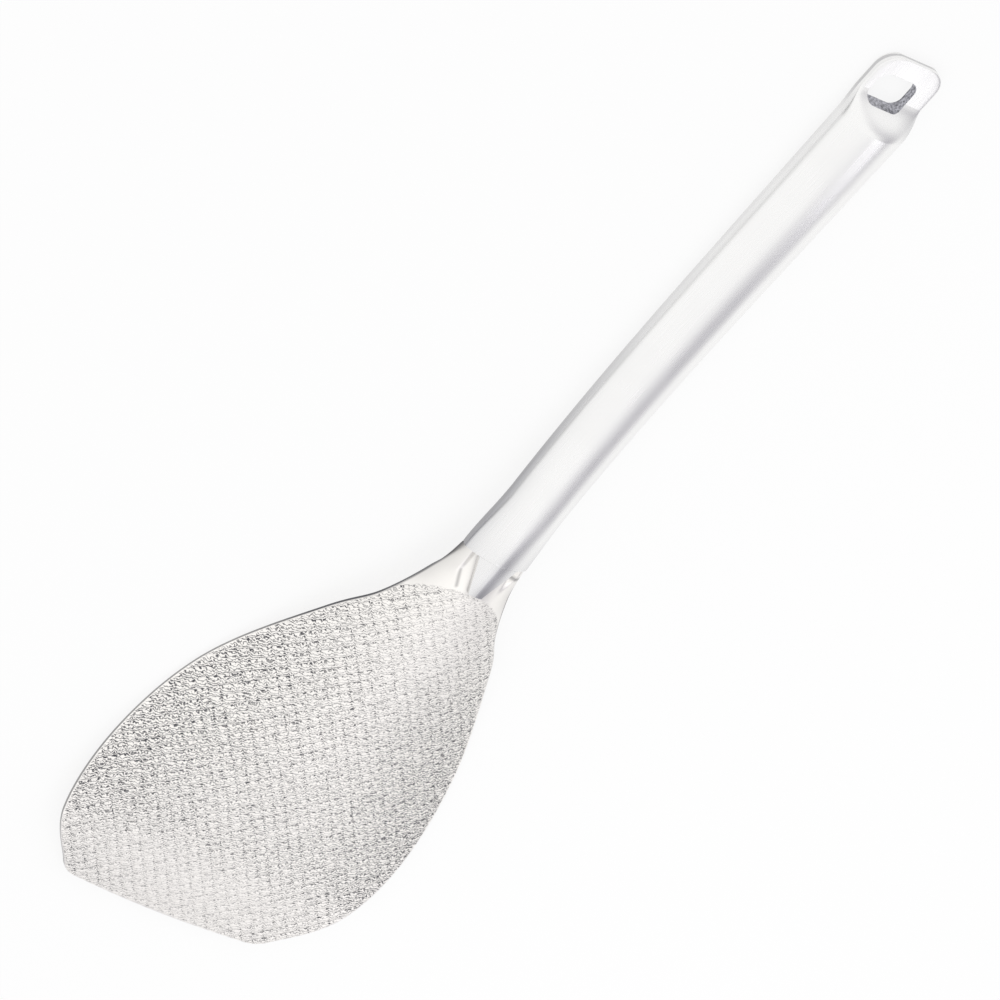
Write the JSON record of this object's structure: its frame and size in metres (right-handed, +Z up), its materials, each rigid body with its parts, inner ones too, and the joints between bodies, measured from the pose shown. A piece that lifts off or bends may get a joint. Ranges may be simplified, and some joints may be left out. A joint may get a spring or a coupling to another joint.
{
  "type": "stir-fry spatula",
  "caption": "All-steel stir-fry spatula: a broad dished blade with a wide straight tip, held in the mouth of a hollow crowned handle that ends in a flat tab with a hanging hole.",
  "frame": {"origin": "under the middle of the whole tool's box, on the table that it rests on, face down", "axes": "+X along the handle towards the hanging hole, +Z up out of the crowned back, Y across the blade"},
  "size_m": [0.3114, 0.1026, 0.0126],
  "materials": {
    "embossed_blade_steel": "stainless steel with fine embossed scallops, satin",
    "satin_handle_steel": "smooth satin stainless steel",
    "satin_plate_steel": "smooth satin stainless steel",
    "bright_sleeve_steel": "polished stainless steel"
  },
  "bodies": {
    "root": {"blade": "embossed_blade_steel", "handle_back_shell": "satin_handle_steel", "handle_front_plate": "satin_plate_steel", "hanging_hole_sleeve": "bright_sleeve_steel"}
  },
  "joints": []
}
